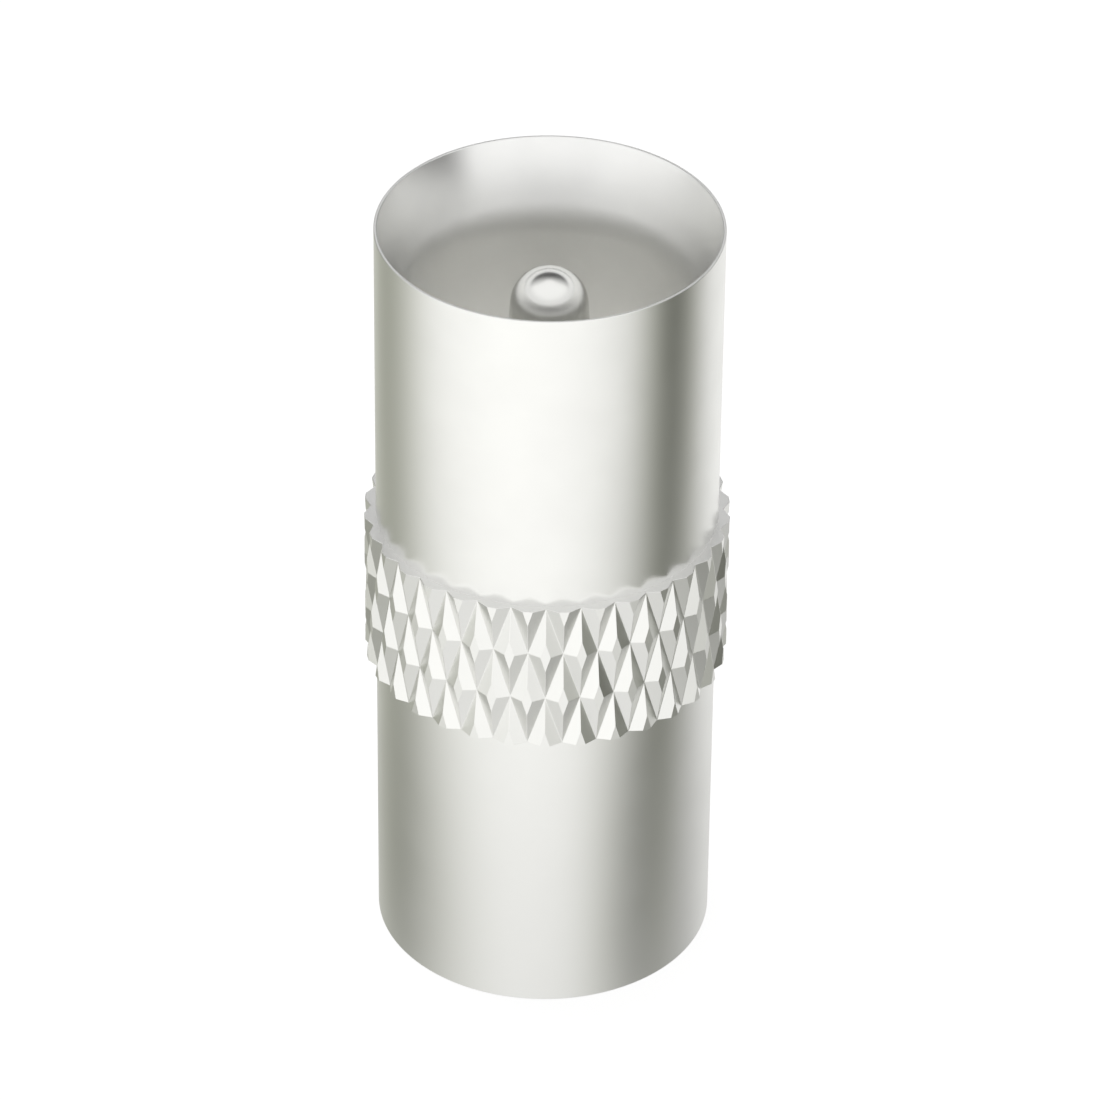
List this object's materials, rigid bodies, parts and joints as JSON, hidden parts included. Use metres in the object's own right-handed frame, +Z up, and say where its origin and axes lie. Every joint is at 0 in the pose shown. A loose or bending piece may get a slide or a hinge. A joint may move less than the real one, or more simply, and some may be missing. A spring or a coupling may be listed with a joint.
{
  "type": "coaxial plug coupler",
  "caption": "Straight double-ended coaxial aerial plug: a plain push-fit metal barrel at each end, a diamond-knurled grip band between them and a round-nosed centre pin inside.",
  "frame": {"origin": "centre of the lower rim, where the coupler stands", "axes": "+Z up the coupler's axis, from the lower rim to the upper rim; -Y faces the viewer of the reference picture"},
  "size_m": [0.0102, 0.0102, 0.0228],
  "materials": {
    "nickel_plated_shell": "turned brass with satin nickel plating, knurled grip band",
    "nickel_plated_pin": "turned brass pin with nickel plating, smoother than the shell",
    "insulator_polymer": "moulded natural white polyethylene"
  },
  "bodies": {
    "root": {"shell": "nickel_plated_shell", "centre_pin": "nickel_plated_pin", "upper_insulator": "insulator_polymer", "lower_insulator": "insulator_polymer"}
  },
  "joints": []
}
